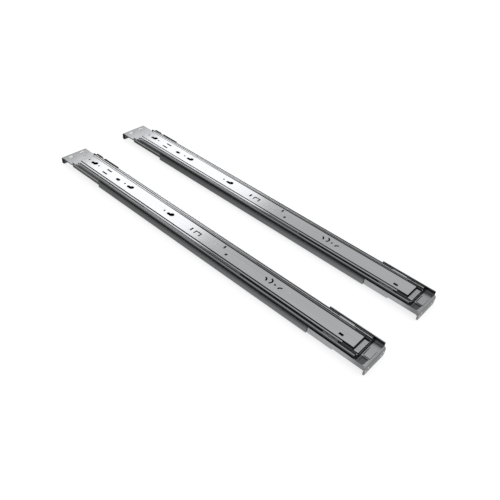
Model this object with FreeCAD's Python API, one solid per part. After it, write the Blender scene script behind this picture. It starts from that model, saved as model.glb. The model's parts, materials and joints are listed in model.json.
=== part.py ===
"""Sliding server rail pair: two three-member ball-bearing slides for a 19-inch rack.

Each rail lies on its rack side with the chassis side up. X runs from the front ear to the
rear ear, Y runs across the rail and Z is up. A rail is drawn from its front ear (x = 0) about
its own centre line (y = 0) with the ground at z = 0, and the pair is then set about the origin.
All sizes are millimetres.
"""
import FreeCAD
import Part

import math
import os

Vector = FreeCAD.Vector

# ---- driving sizes of the pair ----
rail_length = 577.0          # between the outer faces of the two ears, fully collapsed
rail_pitch = 119.7           # between the centre lines of the two rails
slide_height = 20.0          # chassis face of the inner member above the ground
ear_width = 43.6             # across the rail: one rack unit less clearance
rack_hole_pitch = 31.75      # outer holes of one rack unit

# ---- sheet thicknesses ----
inner_sheet = 1.2
middle_sheet = 1.1
outer_sheet = 1.2
bracket_sheet = 1.8
support_sheet = 1.2
cage_sheet = 0.6

# ---- balls and raceways ----
ball_diameter = 2.0
ball_gap = 0.12              # running clearance between a ball and its raceway
raceway_depth = 0.3          # how deep a raceway is rolled into a wall
ball_level = 3.3             # ball centres below the chassis face
ball_count = 7               # in each strip
ball_pitch = 26.6
cage_end = 14.2              # from the last ball to the end of its cage
window_clearance = 0.1       # ball to the edge of its cage window

# ---- cross-section: widths and levels ----
inner_wall_drop = 4.5        # tip of that wall below the chassis face
middle_drop = 3.2            # web of the middle member below the chassis face
middle_dip = 1.7             # how much lower that web runs under the inner walls
outer_drop = 6.4             # web of the outer member below the chassis face
middle_rim_drop = 1.3        # top of the middle member's wall below the chassis face
outer_rim_drop = 0.8         # top of the outer member's rim below the chassis face
rim_turn_in = 1.3            # how far the outer rim is turned in
support_level = 3.3          # underside of the support channel above the ground
support_rim_drop = 4.6       # top of the support channel's walls below the chassis face
wall_gap = 0.12              # between the outer member and the channel around it
slip_gap = 0.2               # between parts that slide on each other

# ---- lengths along the rail ----
plate_end = 26.5             # rear edge of the front plate's wide part
outer_front = 28.0
middle_front = 38.8
inner_setback = 0.4          # inner member's front end behind the middle member's
rear_plate_length = 17.2     # from the rear end of the slide to the rear ear's face
inner_tail_gap = 7.5         # from the inner member's rear end to the end of the slide
wall_relief = 13.6           # how much shorter the inner walls are than their web
support_front = 95.7
support_end_gap = 81.8       # from the channel's rear end to the rear ear's face
tongue_lap = 17.0            # how far the front bracket's tongue reaches into the channel
ramp_setback = 45.4          # from the middle of the rear bracket's ramp to the ear's face
wing_setback = 2.4           # from the rear end of the wings to the ear's face

# ---- travels ----
slide_travel = 280.0         # of each of the two stages
depth_travel = 160.0         # of the rear bracket

# ---- derived lengths ----
outer_rear = rail_length - rear_plate_length
inner_front = middle_front + inner_setback
inner_tail = outer_rear - inner_tail_gap
inner_wall_end = inner_tail - wall_relief
support_rear = rail_length - support_end_gap
bracket_tail = support_front + tongue_lap
cage_length = (ball_count - 1) * ball_pitch + 2 * cage_end

# ---- derived levels and widths ----
ball_radius = ball_diameter / 2
raceway_radius = ball_radius + ball_gap
ball_z = slide_height - ball_level
ball_pocket = raceway_radius - raceway_depth     # from a wall's face to the ball centres
channel_half = ear_width / 2
channel_inside = channel_half - support_sheet
outer_half = channel_inside - wall_gap
outer_inside = outer_half - outer_sheet
outer_ball_y = outer_inside - ball_pocket
middle_half = outer_ball_y - ball_pocket
middle_inside = middle_half - middle_sheet
inner_ball_y = middle_inside - ball_pocket
inner_half = inner_ball_y - ball_pocket  # outer face of the inner member's wall
groove_y = inner_half - 2.5              # grooves along the edges of the inner web
inner_under = slide_height - inner_sheet
middle_top = slide_height - middle_drop
middle_low = middle_top - middle_dip
outer_top = slide_height - outer_drop
outer_under = outer_top - outer_sheet
plate_under = outer_under - bracket_sheet
support_top = support_level + support_sheet
bracket_drop = 5.4           # depth of the front bracket's tongue with its flanges
flange_low = outer_under - bracket_drop


# ---- drawing helpers ----
def cross_point(y, z):
    """A point of a cross-section, on the plane x = 0."""
    return Vector(0, y, z)


def side_point(x, z):
    """A point of a side profile, on the plane y = 0."""
    return Vector(x, 0, z)


def bent_strip(path, thickness, point):
    """Section of a bent sheet whose centre line runs from circle to circle.

    path lists (first, second, radius): a bend's centre and its centre-line radius, positive
    where the line turns left. The two ends have no radius. point maps the pair to space.
    """
    headings = []
    for (a0, b0, r0), (a1, b1, r1) in zip(path, path[1:]):
        reach = math.hypot(a1 - a0, b1 - b0)
        headings.append(math.atan2(b1 - b0, a1 - a0) - math.asin((r1 - r0) / reach))

    def spot(index, heading, shift):
        a, b, radius = path[index]
        out = shift - radius
        return point(a - out * math.sin(heading), b + out * math.cos(heading))

    def flank(shift):
        edges = []
        for i, heading in enumerate(headings):
            start = spot(i, heading, shift)
            end = spot(i + 1, heading, shift)
            if start.distanceToPoint(end) > 1e-6:
                edges.append(Part.LineSegment(start, end).toShape())
            if i + 1 < len(headings):
                turn = math.remainder(headings[i + 1] - heading, math.tau)
                middle = spot(i + 1, heading + turn / 2, shift)
                after = spot(i + 1, headings[i + 1], shift)
                edges.append(Part.Arc(end, middle, after).toShape())
        return edges

    left = flank(thickness / 2)
    right = flank(-thickness / 2)
    last = len(path) - 1
    ends = []
    for index, heading in ((0, headings[0]), (last, headings[-1])):
        a = spot(index, heading, thickness / 2)
        b = spot(index, heading, -thickness / 2)
        ends.append(Part.LineSegment(a, b).toShape())
    wire = Part.Wire(Part.__sortEdges__(left + right + ends))
    return Part.Face(wire)


def mirrored(half):
    """A path across the rail from its near half: the far half repeats it."""
    return half + [(-y, z, radius) for y, z, radius in reversed(half)]


def box(x0, x1, y0, y1, z0, z1):
    """A block between two corners."""
    return Part.makeBox(x1 - x0, y1 - y0, z1 - z0, Vector(x0, y0, z0))


def upright(x, y, z0, z1, radius):
    """A cylinder standing between two levels."""
    return Part.makeCylinder(radius, z1 - z0, Vector(x, y, z0), Vector(0, 0, 1))


def slot_cutter(x0, x1, y, width, z0, z1):
    """A round-ended slot along the rail, between the centres of its ends."""
    body = box(x0, x1, y - width / 2, y + width / 2, z0, z1)
    ends = [upright(x, y, z0, z1, width / 2) for x in (x0, x1)]
    return body.fuse(ends)


def cross_slot_cutter(x, y0, y1, width, z0, z1):
    """A round-ended slot across the rail, between the centres of its ends."""
    body = box(x - width / 2, x + width / 2, y0, y1, z0, z1)
    ends = [upright(x, y, z0, z1, width / 2) for y in (y0, y1)]
    return body.fuse(ends)


def arc_slot_cutter(x, y, radius, start, sweep, width, z0, z1):
    """A curved slot of constant width about (x, y), angles in degrees."""
    ring = upright(x, y, z0, z1, radius + width / 2)
    ring = ring.cut(upright(x, y, z0, z1, radius - width / 2))
    reach = 2 * radius + width
    sector = Part.makeCylinder(reach, z1 - z0, Vector(x, y, z0), Vector(0, 0, 1), sweep)
    sector.rotate(Vector(x, y, z0), Vector(0, 0, 1), start)
    return ring.common(sector)


def hex_prism(base, along, flats, length):
    """A hexagonal prism on a base point, with two of its flats facing along Y or Z."""
    corner = flats / math.sqrt(3)
    across = Vector(0, 1, 0) if abs(along.x) > 0.5 else Vector(1, 0, 0)
    upward = along.cross(across)
    points = []
    for i in range(7):
        angle = math.radians(60 * i)
        points.append(base + across * corner * math.cos(angle) + upward * corner * math.sin(angle))
    return Part.Face(Part.makePolygon(points)).extrude(along * length)


def hex_studs(places, flats, low, high):
    """Hexagonal studs standing between two levels."""
    return [hex_prism(Vector(x, y, low), Vector(0, 0, 1), flats, high - low) for x, y in places]


def raceway_cut(section, y, z):
    """Roll one ball raceway into both walls of a section."""
    for side in (-1, 1):
        circle = Part.makeCircle(raceway_radius, cross_point(side * y, z), Vector(1, 0, 0))
        section = section.cut(Part.Face(Part.Wire(circle)))
    return section


def extruded(section, x0, x1):
    """A section drawn out along the rail."""
    solid = section.extrude(Vector(x1 - x0, 0, 0))
    solid.translate(Vector(x0, 0, 0))
    return solid


def lower_corner(x, level, size, inward):
    """A cutter across the rail that chamfers a lower corner of a side view."""
    corner = Part.makePolygon([
        Vector(x - inward, -ear_width, level - 1),
        Vector(x + inward * (size + 1), -ear_width, level - 1),
        Vector(x - inward, -ear_width, level + size + 1),
        Vector(x - inward, -ear_width, level - 1),
    ])
    return Part.Face(corner).extrude(Vector(0, 2 * ear_width, 0))


def rounded_long_edges(part, x0, x1, half, level, radius):
    """Round the two lower edges that run along the rail at a half width."""
    for side in (-1, 1):
        y0, y1 = sorted((side * (half - radius), side * (half + 1)))
        edge = box(x0, x1, y0, y1, level - 1, level + radius)
        centre = Vector(x0, side * (half - radius), level + radius)
        part = part.cut(edge.cut(Part.makeCylinder(radius, x1 - x0, centre, Vector(1, 0, 0))))
    return part


# ---- features of the inner member's web, along the rail from its front end ----
keyholes = (15.1, 101.8, 190.2)          # narrow end of each stud keyhole
keyhole_y = -0.8
keyhole_run = 6.0                        # from the narrow end to the entry
keyhole_shift = 1.7                      # the entry lies further across
stud_neck = 4.6                          # width of the narrow part
stud_entry = 6.9                         # diameter of the entry
pilot_holes = (5.6, 29.4, 92.9, 181.5, 387.3)
pilot_flats = 2.8
pair_slots = ((50.9, 4.0), (50.9, -5.0))
pair_slot_length = 10.4
pair_slot_width = 2.6
oval_slot = (76.4, 79.5, -1.0, 5.0)      # centres of its ends, place across, width
cross_slot = (236.5, 239.1, -3.7, 2.6)   # x and y limits
hook_cut = (244.5, 255.5, -4.4, 2.4)     # x and y limits of the square hook's outline
hook_tab = (246.4, 253.6, -5.0, 0.6)     # the tab that is left in it
tool_hole = (306.4, -3.9)
tool_hole_radius = 2.0
curved_slots = (                         # x, y, radius, start angle, sweep
    (369.6, -2.0, 4.2, -12, 95),
    (377.1, 1.0, 4.4, -65, 150),
    (397.7, -2.4, 3.6, 80, 110),
)
curved_slot_width = 2.2
tail_slot = (23.9, 17.7, -7.5, -4.0)     # its ends ahead of the rear end, its y limits
latch_pivot = 333.2
latch_pin_radius = 1.5
latch_window = (293.7, 296.4, 2.1, 8.3)  # x and y limits of the window for the latch's finger
edge_groove_radius = 0.9                 # shallow grooves rolled along the web's edges
edge_groove_depth = 0.55


def inner_web_cuts():
    """Everything that is pierced through the inner member's web, from its front end."""
    z0 = inner_under - 0.5
    z1 = slide_height + 0.5
    cuts = []
    for x in keyholes:
        cuts.append(slot_cutter(x, x + keyhole_run, keyhole_y, stud_neck, z0, z1))
        cuts.append(upright(x + keyhole_run, keyhole_y + keyhole_shift, z0, z1, stud_entry / 2))
    pilots = [(x, 0.0) for x in pilot_holes]
    cuts += hex_studs(pilots, pilot_flats, z0, z1)
    half_length = pair_slot_length / 2
    half_width = pair_slot_width / 2
    for x, y in pair_slots:
        cuts.append(box(x - half_length, x + half_length, y - half_width, y + half_width, z0, z1))
    cuts.append(slot_cutter(*oval_slot, z0, z1))
    cuts.append(box(*cross_slot, z0, z1))
    cuts.append(box(*hook_cut, z0, z1).cut(box(*hook_tab, z0, z1)))
    cuts.append(upright(*tool_hole, z0, z1, tool_hole_radius))
    cuts.append(box(*latch_window, z0, z1))
    for slot in curved_slots:
        cuts.append(arc_slot_cutter(*slot, curved_slot_width, z0, z1))
    web_length = inner_tail - inner_front
    cuts.append(box(web_length - tail_slot[0], web_length - tail_slot[1], *tail_slot[2:], z0, z1))
    cuts.append(upright(latch_pivot, 0, z0, z1, latch_pin_radius))
    return cuts


# ---- the members of one slide ----
tail_half = inner_half - 2.7             # half width of the inner web behind its walls
middle_windows = (127.0, 245.0, 415.0)   # centres, from the middle member's front end
middle_window = (16.0, 7.0)              # length and width
outer_access = (23.0, 9.0)               # length and width in the outer member
support_access = (23.0, 10.0)            # and in the support channel


def window_cutters(places, size, z0, z1):
    """Square-ended windows on the centre line."""
    length, width = size
    return [box(x - length / 2, x + length / 2, -width / 2, width / 2, z0, z1) for x in places]


def make_inner_member():
    """Chassis member: flat web, bent walls with a raceway on the outside."""
    bend = 1.2
    wall = inner_half - inner_sheet / 2
    web = slide_height - inner_sheet / 2
    section = bent_strip(mirrored([
        (-wall, slide_height - inner_wall_drop, 0),
        (-(wall - bend), web - bend, -bend),
    ]), inner_sheet, cross_point)
    section = raceway_cut(section, inner_ball_y, ball_z)
    groove_level = slide_height + edge_groove_radius - edge_groove_depth
    for side in (-1, 1):
        centre = cross_point(side * groove_y, groove_level)
        groove = Part.makeCircle(edge_groove_radius, centre, Vector(1, 0, 0))
        section = section.cut(Part.Face(Part.Wire(groove)))
    member = extruded(section, inner_front, inner_tail)
    for side in (-1, 1):
        y0, y1 = sorted((side * tail_half, side * (inner_half + 1)))
        member = member.cut(box(inner_wall_end, inner_tail + 1, y0, y1, 0, slide_height + 1))
    cuts = Part.makeCompound(inner_web_cuts())
    cuts.translate(Vector(inner_front, 0, 0))
    return member.cut(cuts)


def make_middle_member():
    """Intermediate member: its web dips under the inner walls and turns up outside them."""
    wall = middle_half - middle_sheet / 2
    low = middle_low - middle_sheet / 2
    high = middle_top - middle_sheet / 2
    corner = 1.4
    ease = 0.8
    section = bent_strip(mirrored([
        (-wall, slide_height - middle_rim_drop, 0),
        (-(wall - corner), low + corner, corner),
        (-groove_y, low + ease, ease),
        (-(groove_y - 2.0), high - ease, -ease),
    ]), middle_sheet, cross_point)
    section = raceway_cut(section, inner_ball_y, ball_z)
    section = raceway_cut(section, outer_ball_y, ball_z)
    member = extruded(section, middle_front, outer_rear)
    places = [middle_front + x for x in middle_windows]
    cuts = window_cutters(places, middle_window, middle_low - middle_sheet - 0.5, middle_top + 0.5)
    return member.cut(Part.makeCompound(cuts))


def outer_section():
    """Cross-section of the outer member: web, walls and turned-in rims."""
    wall = outer_half - outer_sheet / 2
    web = outer_top - outer_sheet / 2
    rim = slide_height - outer_rim_drop - outer_sheet / 2
    rim_bend = 0.9
    corner = 1.5
    section = bent_strip(mirrored([
        (-(outer_half - rim_turn_in - outer_sheet / 2), rim, 0),
        (-(wall - rim_bend), rim - rim_bend, rim_bend),
        (-(wall - corner), web + corner, corner),
    ]), outer_sheet, cross_point)
    return raceway_cut(section, outer_ball_y, ball_z)


def make_outer_member():
    """Rack member: carries the brackets on its underside and the balls inside its walls."""
    member = extruded(outer_section(), outer_front, outer_rear)
    z0 = outer_under - 0.5
    z1 = outer_top + 0.5
    cuts = hex_studs(bracket_stud_places, bracket_stud_flats, z0, z1)
    cuts += hex_studs(guide_stud_places, guide_stud_flats, z0, z1)
    cuts += window_cutters(access_slots, outer_access, z0, z1)
    return member.cut(Part.makeCompound(cuts))


# ---- brackets and fasteners ----
nut_hole_radius = 2.1                    # tapped hole for the rack screw
nut_flats = 7.0                          # across the flats of a flush ear nut
nut_length = 3.6                         # from the ear's outer face
ear_hole_drop = 7.0                      # tapped holes below the plate's top face
bend_radius = 2.2                        # centre line of the ears' bends
plate_hole = (9.1, 10.4)                 # x and y of an oval hole in the front plate
plate_hole_width = 4.2
plate_hole_run = 3.2                     # between the centres of its ends
flange_chamfer = 1.5                     # lower front corner of the tongue's flanges
support_bend = 1.6                       # centre line of the support channel's bends
support_chamfer = 2.0                    # lower corners of the support channel's ends
bracket_stud_flats = 4.5
bracket_stud_places = (
    (outer_front + 3.6, -1.0),
    (outer_front + 25.0, -8.0),
    (outer_front + 25.0, 8.0),
)
guide_stud_flats = 6.0
guide_stud_pitch = 120.0                 # between the two studs in the rear bracket's slot
last_stud = support_rear - 20.0
guide_stud_places = (
    (support_front + 9.0, 0.0),
    (last_stud - guide_stud_pitch, 0.0),
    (last_stud, 0.0),
)
access_slots = (                         # centres, through the outer member and the channel
    support_front + 73.5,
    last_stud - guide_stud_pitch - 50.0,
)


def ear_nut_seats(face_x, inward, top):
    """Base points of an ear's two nuts, on its outer face, and their direction."""
    level = top - ear_hole_drop
    seats = [Vector(face_x, side * rack_hole_pitch / 2, level) for side in (-1, 1)]
    return seats, Vector(inward, 0, 0)


def ear_holes(face_x, inward, top):
    """Cutters for the hexagonal seats of an ear's two nuts."""
    seats, along = ear_nut_seats(face_x, inward, top)
    return [hex_prism(seat, along, nut_flats, bracket_sheet) for seat in seats]


def ear_nuts(face_x, inward, top):
    """Two flush nuts pressed through an ear, tapped for the rack screws."""
    seats, along = ear_nut_seats(face_x, inward, top)
    nuts = []
    for seat in seats:
        body = hex_prism(seat, along, nut_flats, nut_length)
        nuts.append(body.cut(Part.makeCylinder(nut_hole_radius, nut_length, seat, along)))
    return Part.makeCompound(nuts)


def rounded_ear_corners(part, x0, x1, top):
    """Round the two lower corners of an ear."""
    radius = 3.0
    half = ear_width / 2
    for side in (-1, 1):
        y0, y1 = sorted((side * (half - radius), side * (half + 1)))
        corner = box(x0, x1, y0, y1, -1, radius)
        centre = Vector(x0, side * (half - radius), radius)
        corner = corner.cut(Part.makeCylinder(radius, x1 - x0, centre, Vector(1, 0, 0)))
        part = part.cut(corner)
    return part


def make_front_bracket():
    """Front plate, its ear bent down and a flanged tongue riveted under the outer member."""
    half = bracket_sheet / 2
    top = outer_under
    section = bent_strip([
        (half, 0.0, 0),
        (half + bend_radius, top - half - bend_radius, -bend_radius),
        (bracket_tail, top - half, 0),
    ], bracket_sheet, side_point)
    plate = section.extrude(Vector(0, ear_width, 0))
    plate.translate(Vector(0, -ear_width / 2, 0))
    wall = outer_half - half
    corner = 1.9
    tongue_start = plate_end + ear_width / 2 - outer_half
    for side in (-1, 1):
        flat = side * (wall - corner)
        y0, y1 = sorted((flat, side * ear_width))
        plate = plate.cut(box(tongue_start, bracket_tail + 1, y0, y1, 0, slide_height))
        taper = Part.makePolygon([
            Vector(plate_end, side * (ear_width / 2), 0),
            Vector(tongue_start, side * outer_half, 0),
            Vector(tongue_start, side * (ear_width / 2), 0),
            Vector(plate_end, side * (ear_width / 2), 0),
        ])
        plate = plate.cut(Part.Face(taper).extrude(Vector(0, 0, slide_height)))
    tongue = extruded(bent_strip(mirrored([
        (-wall, flange_low, 0),
        (-(wall - corner), top - half - corner, -corner),
    ]), bracket_sheet, cross_point), tongue_start, bracket_tail)
    tongue = tongue.cut(lower_corner(tongue_start, flange_low, flange_chamfer, 1))
    plate = plate.fuse(tongue).removeSplitter()
    cuts = ear_holes(0.0, 1, top)
    hole_x, hole_y = plate_hole
    for y in (-hole_y, hole_y):
        y0 = y - plate_hole_run / 2
        y1 = y + plate_hole_run / 2
        cuts.append(cross_slot_cutter(hole_x, y0, y1, plate_hole_width, plate_under - 1, top + 1))
    cuts += hex_studs(bracket_stud_places, bracket_stud_flats, plate_under - 1, top + 1)
    cuts += hex_studs(guide_stud_places[:1], guide_stud_flats, plate_under - 1, top + 1)
    plate = plate.cut(Part.makeCompound(cuts))
    return rounded_ear_corners(plate, -1, bracket_sheet + 0.01, top)


def make_bracket_studs():
    """Studs pressed flush through the front bracket and the outer member."""
    studs = hex_studs(bracket_stud_places, bracket_stud_flats, plate_under, outer_top)
    return Part.makeCompound(studs)


def make_guide_studs():
    """Studs that carry the support channel and guide the slots of the rear bracket."""
    studs = hex_studs(guide_stud_places, guide_stud_flats, support_level, outer_top)
    return Part.makeCompound(studs)


def make_support_channel():
    """Fixed channel around the outer member in which the rear bracket slides."""
    wall = channel_half - support_sheet / 2
    floor = support_level + support_sheet / 2
    section = bent_strip(mirrored([
        (-wall, slide_height - support_rim_drop, 0),
        (-(wall - support_bend), floor + support_bend, support_bend),
    ]), support_sheet, cross_point)
    channel = extruded(section, support_front, support_rear)
    cuts = hex_studs(guide_stud_places, guide_stud_flats, 0, support_top + 1)
    cuts += window_cutters(access_slots, support_access, 0, support_top + 1)
    cuts.append(lower_corner(support_front, support_level, support_chamfer, 1))
    cuts.append(lower_corner(support_rear, support_level, support_chamfer, -1))
    return channel.cut(Part.makeCompound(cuts))


# ---- rear bracket ----
bar_half = channel_inside - (support_bend - support_sheet / 2) - slip_gap
bar_level = support_top + slip_gap       # underside of the sliding bar
bar_front = bracket_tail + slip_gap
ramp_place = rail_length - ramp_setback  # where the bar steps up to the ear plate
ramp_run = 4.0
shelf_top = outer_under - slip_gap       # the part between the ramp and the ear plate
shelf_low = shelf_top - bracket_sheet
wing_skirt = 1.9                         # how far the wings reach below that part
wing_low = shelf_low - wing_skirt
floor_start = outer_rear + 0.7           # the ear plate rises behind the slide
floor_rise_run = 2.4
floor_top = outer_top
near_wall_drop = 4.6                     # top of the near wing below the chassis face
wing_front = support_rear + 1.0
wing_edge_radius = 3.0                   # lower long edges of the wings
pad_limits = (4.4, 12.8, -7.5, 8.5)      # raised pad: x behind floor_start, and y
recess_limits = (4.2, 12.4, -channel_inside, -9.5)   # lowered part beside it
emboss_height = 1.0
floor_slot = (2.9, 4.1, -6.8, 7.8)       # cross slot at the front edge of the pad


def embossed(plate, limits, height):
    """Raise or lower a field of the ear plate, with the sheet as thick as before."""
    x0, x1, y0, y1 = limits
    x0 += floor_start
    x1 += floor_start
    floor_low = floor_top - bracket_sheet
    if height > 0:
        added = box(x0, x1, y0, y1, floor_top, floor_top + height)
        taken = box(x0 + 1, x1 - 1, y0 + 1, y1 - 1, floor_low, floor_low + height)
    else:
        added = box(x0 - 0.5, x1, y0, y1 + 0.5, floor_low + height, floor_low)
        taken = box(x0, x1, y0, y1, floor_top + height, floor_top)
    return plate.fuse(added).cut(taken)


def make_rear_bracket():
    """Depth-adjusting bracket: slotted bar, side wings, ear plate and rear ear."""
    half = bracket_sheet / 2
    bar_centre = bar_level + half
    floor_centre = floor_top - half
    ramp = 1.5
    kink = 1.0
    shelf_centre = shelf_top - half
    section = bent_strip([
        (bar_front, bar_centre, 0),
        (ramp_place - ramp_run / 2, bar_centre + ramp, ramp),
        (ramp_place + ramp_run / 2, shelf_centre - ramp, -ramp),
        (floor_start, shelf_centre + kink, kink),
        (floor_start + floor_rise_run, floor_centre - kink, -kink),
        (rail_length - half - bend_radius, floor_centre - bend_radius, -bend_radius),
        (rail_length - half, 0.0, 0),
    ], bracket_sheet, side_point)
    body = section.extrude(Vector(0, ear_width, 0))
    body.translate(Vector(0, -ear_width / 2, 0))
    wing_rear = rail_length - wing_setback
    for side in (-1, 1):
        y0, y1 = sorted((side * bar_half, side * ear_width))
        body = body.cut(box(0, wing_front, y0, y1, 0, slide_height))
        y0, y1 = sorted((side * (channel_half - 0.5), side * ear_width))
        body = body.cut(box(0, wing_rear, y0, y1, 0, slide_height))
    near_top = slide_height - near_wall_drop
    near = box(wing_front, wing_rear, -channel_half, -channel_inside, bar_level, near_top)
    far = box(wing_front, wing_rear, channel_inside, channel_half, bar_level, slide_height)
    for wing in (near, far):
        y = wing.BoundBox.Center.y
        lift = box(ramp_place, rail_length, y - 2, y + 2, 0, wing_low)
        body = body.fuse(wing.cut(lift))
    body = body.removeSplitter()
    body = rounded_long_edges(body, wing_front - 1, ramp_place, channel_half, bar_level,
                              wing_edge_radius)
    body = embossed(body, pad_limits, emboss_height)
    body = embossed(body, recess_limits, -emboss_height)
    cuts = ear_holes(rail_length, -1, floor_top)
    x0, x1, y0, y1 = floor_slot
    cuts.append(box(floor_start + x0, floor_start + x1, y0, y1, shelf_low, slide_height))
    corner = guide_stud_flats / math.sqrt(3) + 0.5
    width = guide_stud_flats / 2 + slip_gap
    slot_front = guide_stud_places[1][0] - depth_travel - corner
    slot_rear = guide_stud_places[2][0] + corner
    cuts.append(box(slot_front, slot_rear, -width, width, 0, outer_under))
    body = body.cut(Part.makeCompound(cuts))
    return rounded_ear_corners(body, rail_length - bracket_sheet - 0.01, rail_length + 1, floor_top)


# ---- ball cages, balls and plastic parts ----
rim_clips = ((9.7, 23.9), (29.5, 62.8))  # ends of the clips, behind the outer member's front end
clip_wall = 0.3
clip_depth = 2.4                         # how far the clips reach down the outer wall
clip_lip = 1.0                           # and down inside the rim
spring_setback = 25.2                    # front end of the springs ahead of the end blocks
spring_wave = 4.2
spring_waves = 5
spring_height = 3.0
cage_stop = 15.4                         # ends of the slide to a cage, fully extended
inner_cage_front = middle_front + cage_stop + slide_travel / 2
outer_cage_front = outer_rear - cage_stop - slide_travel / 2 - cage_length
inner_cage_levels = (middle_low + 0.2, slide_height - 1.5)
outer_cage_levels = (outer_top + 1.3, slide_height - outer_rim_drop - outer_sheet - 0.1)


def ball_places(cage_front):
    """Ball centres of one strip along the rail."""
    first = cage_front + (cage_length - (ball_count - 1) * ball_pitch) / 2
    return [first + i * ball_pitch for i in range(ball_count)]


def make_cage(cage_front, y, levels):
    """Two cage strips with a window for each ball."""
    strips = []
    half = ball_radius + window_clearance
    for side in (-1, 1):
        strip = box(cage_front, cage_front + cage_length,
                    side * y - cage_sheet / 2, side * y + cage_sheet / 2,
                    levels[0], levels[1])
        for x in ball_places(cage_front):
            strip = strip.cut(box(x - half, x + half, side * y - 1, side * y + 1,
                                  ball_z - half, ball_z + half))
        strips.append(strip)
    return Part.makeCompound(strips)


def faceted_ball():
    """A ball as a cuboctahedron about the origin, its corners just inside the raceways."""
    half = ball_radius * 0.76
    ball = Part.makeBox(2 * half, 2 * half, 2 * half, Vector(-half, -half, -half))
    reach = 2 * half / math.sqrt(3)
    for x_sign in (-1, 1):
        for y_sign in (-1, 1):
            for z_sign in (-1, 1):
                outward = Vector(x_sign, y_sign, z_sign).normalize()
                ball = ball.cut(Part.makeCylinder(4 * half, 4 * half, outward * reach, outward))
    return ball


def make_balls(cage_front, y):
    """The balls of one stage, in both strips."""
    pattern = faceted_ball()
    balls = []
    for side in (-1, 1):
        for x in ball_places(cage_front):
            ball = pattern.copy()
            ball.translate(Vector(x, side * y, ball_z))
            balls.append(ball)
    return Part.makeCompound(balls)


def is_low_outer_edge(edge, level, half):
    """Whether an edge runs along the rail at this level and distance from the centre line."""
    box_of = edge.BoundBox
    return box_of.ZMax < level + 0.01 and abs(abs(box_of.Center.y) - half) < 0.01


def make_front_guides():
    """Plastic guides clipped into the outer member's walls and over its far rim."""
    guides = []
    for side in (-1, 1):
        y0, y1 = sorted((side * (middle_half + slip_gap), side * outer_inside))
        low = outer_top + 0.9
        high = slide_height - outer_rim_drop - outer_sheet - 0.6
        guide = box(outer_front + 2, outer_front + 44, y0, y1, low, high)
        notch = box(outer_front + 16, outer_front + 21, y0 - 1, y1 + 1, high - 1.4, high + 1)
        guides.append(guide.cut(notch))
    rim_top = slide_height - outer_rim_drop
    rim_edge = outer_half - rim_turn_in - outer_sheet / 2
    leg_half = (rim_edge + middle_half) / 2
    for x0, x1 in rim_clips:
        clip = box(outer_front + x0, outer_front + x1, leg_half, outer_half + clip_wall,
                   rim_top - clip_depth, rim_top + clip_wall)
        hollow = box(outer_front, outer_rear, rim_edge - slip_gap, outer_half, 0, rim_top)
        under_lip = box(outer_front, outer_rear, 0, outer_half, 0, rim_top - clip_lip)
        guides.append(clip.cut([hollow, under_lip]))
    return Part.makeCompound(guides)


def make_rear_guides():
    """Plastic end blocks of the middle member that stop the inner member's walls."""
    blocks = []
    for side in (-1, 1):
        y0, y1 = sorted((side * (groove_y + 0.2), side * middle_inside))
        high = slide_height - 0.9
        block = box(inner_wall_end + 0.3, outer_rear - 1.0, y0, y1, middle_low, high)
        edge = [e for e in block.Edges if is_low_outer_edge(e, middle_low, middle_inside)]
        block = block.makeChamfer(1.0, edge)
        relief = box(inner_tail + 0.4, outer_rear, y0 - 1, y1 + 1, middle_top + 1.0, high + 1)
        blocks.append(block.cut(relief))
    return Part.makeCompound(blocks)


def make_retaining_springs():
    """Wavy leaf springs that hold the closed inner member against its end blocks."""
    springs = []
    start = inner_wall_end - spring_setback
    centre = (inner_half + middle_inside) / 2
    for side in (-1, 1):
        path = [(start, side * centre)]
        turn = side
        for i in range(1, spring_waves + 1):
            path.append((start + i * spring_wave, side * centre + turn * 0.35))
            turn = -turn
        left = [Vector(x, y + 0.15, ball_z - 1.2) for x, y in path]
        right = [Vector(x, y - 0.15, ball_z - 1.2) for x, y in reversed(path)]
        wire = Part.makePolygon(left + right + left[:1])
        springs.append(Part.Face(wire).extrude(Vector(0, 0, spring_height)))
    return Part.makeCompound(springs)


# ---- disconnect latch under the inner member ----
latch_sheet = 0.8
latch_top = inner_under - 0.15
latch_half = 3.2
latch_tail = 20.0                        # lever behind its pivot
latch_pin_clearance = 0.05
finger_gap = 0.3                         # finger to the front end of its window
finger_thickness = 1.2
finger_width = 1.7


def make_disconnect_latch():
    """Flat lever on the underside of the web, with a finger through its window."""
    low = latch_top - latch_sheet
    x = latch_window[0] + finger_gap
    y = latch_window[2] + 0.4
    lever = box(x + 7, latch_pivot + latch_tail, -latch_half, latch_half, low, latch_top)
    arm = box(x - 0.6, x + 12, y - 0.8, y + 2.2, low, latch_top)
    finger = box(x, x + finger_thickness, y, y + finger_width, low, slide_height - 0.2)
    lever = lever.fuse([arm, finger]).removeSplitter()
    bore = upright(latch_pivot, 0, 0, slide_height, latch_pin_radius + latch_pin_clearance)
    lever = lever.cut(bore)
    lever.translate(Vector(inner_front, 0, 0))
    return lever


def make_latch_pin():
    """Rivet on which the latch turns."""
    x = inner_front + latch_pivot
    low = latch_top - latch_sheet - 0.15
    pin = upright(x, 0, low, slide_height, latch_pin_radius)
    head = upright(x, 0, low - 0.3, low, latch_pin_radius + 0.8)
    return pin.fuse(head).removeSplitter()


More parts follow.
